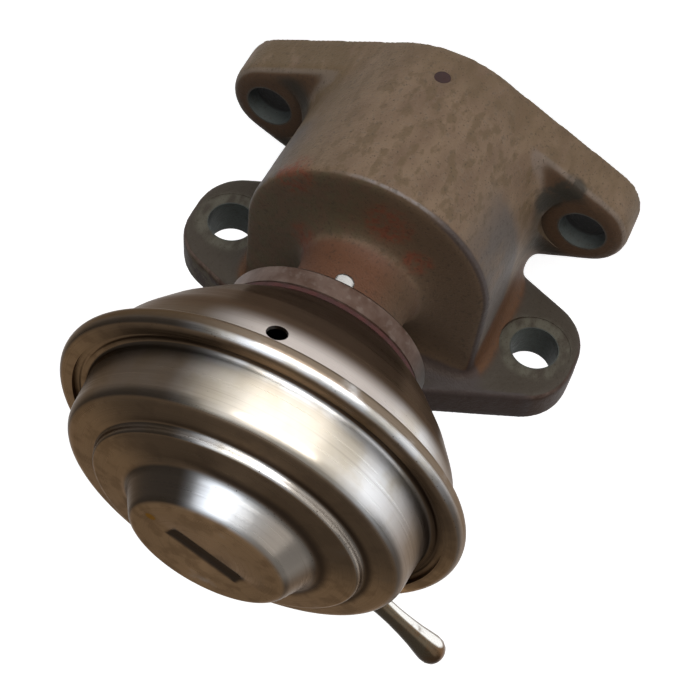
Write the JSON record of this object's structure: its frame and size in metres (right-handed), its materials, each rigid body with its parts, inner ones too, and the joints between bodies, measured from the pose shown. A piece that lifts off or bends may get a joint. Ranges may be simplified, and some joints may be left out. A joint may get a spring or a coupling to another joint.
{
  "type": "egr valve",
  "caption": "Vacuum-operated EGR valve: cast body with a base flange and a side flange, collar, crimped steel actuator with stepped dome and hose nipple.",
  "frame": {"origin": "centre of the base flange's mating face, on the valve axis", "axes": "+Z along the valve axis from the base flange to the vacuum dome, X along both flanges' bolt pairs, +Y out of the side flange's mating face"},
  "size_m": [0.0758, 0.0684, 0.0918],
  "materials": {
    "cast_iron": "rough as cast, heat stained",
    "plug": "dull dark red-brown",
    "seat_steel": "machined",
    "valve_steel": "ground",
    "guide_bronze": "machined bronze",
    "seal": "matt graphite packing",
    "zinc_steel": "zinc plated",
    "collar_steel": "dull, discoloured",
    "gasket": "matt",
    "rivet_steel": "satin",
    "pressed_steel": "satin, lightly worn",
    "nipple_steel": "satin",
    "diaphragm_rubber": "matt",
    "spring_steel": "drawn wire"
  },
  "bodies": {
    "housing": {"valve_body": "cast_iron", "body_plug": "plug", "seat_ring": "seat_steel", "stem_guide": "guide_bronze", "stem_seal": "seal", "seal_cup": "zinc_steel", "mounting_ring": "collar_steel", "ring_gasket": "gasket", "ring_rivets": "rivet_steel", "lower_shell": "pressed_steel", "upper_shell": "pressed_steel", "vacuum_nipple": "nipple_steel", "diaphragm": "diaphragm_rubber", "spring_seat": "zinc_steel", "return_spring": "spring_steel"},
    "valve_unit": {"valve_disc": "valve_steel", "valve_stem": "valve_steel", "diaphragm_plate": "zinc_steel", "spring_cup": "zinc_steel", "stem_washer": "zinc_steel", "stem_nut": "zinc_steel"}
  },
  "joints": [
    {"name": "valve_lift", "type": "slide", "parent": "housing", "child": "valve_unit", "axis": [0, 0, 1], "range_m": [0, 0.005], "stiffness_N_per_m": 2000, "springref_m": -0.008, "deforming": ["return_spring", "diaphragm"]}
  ]
}
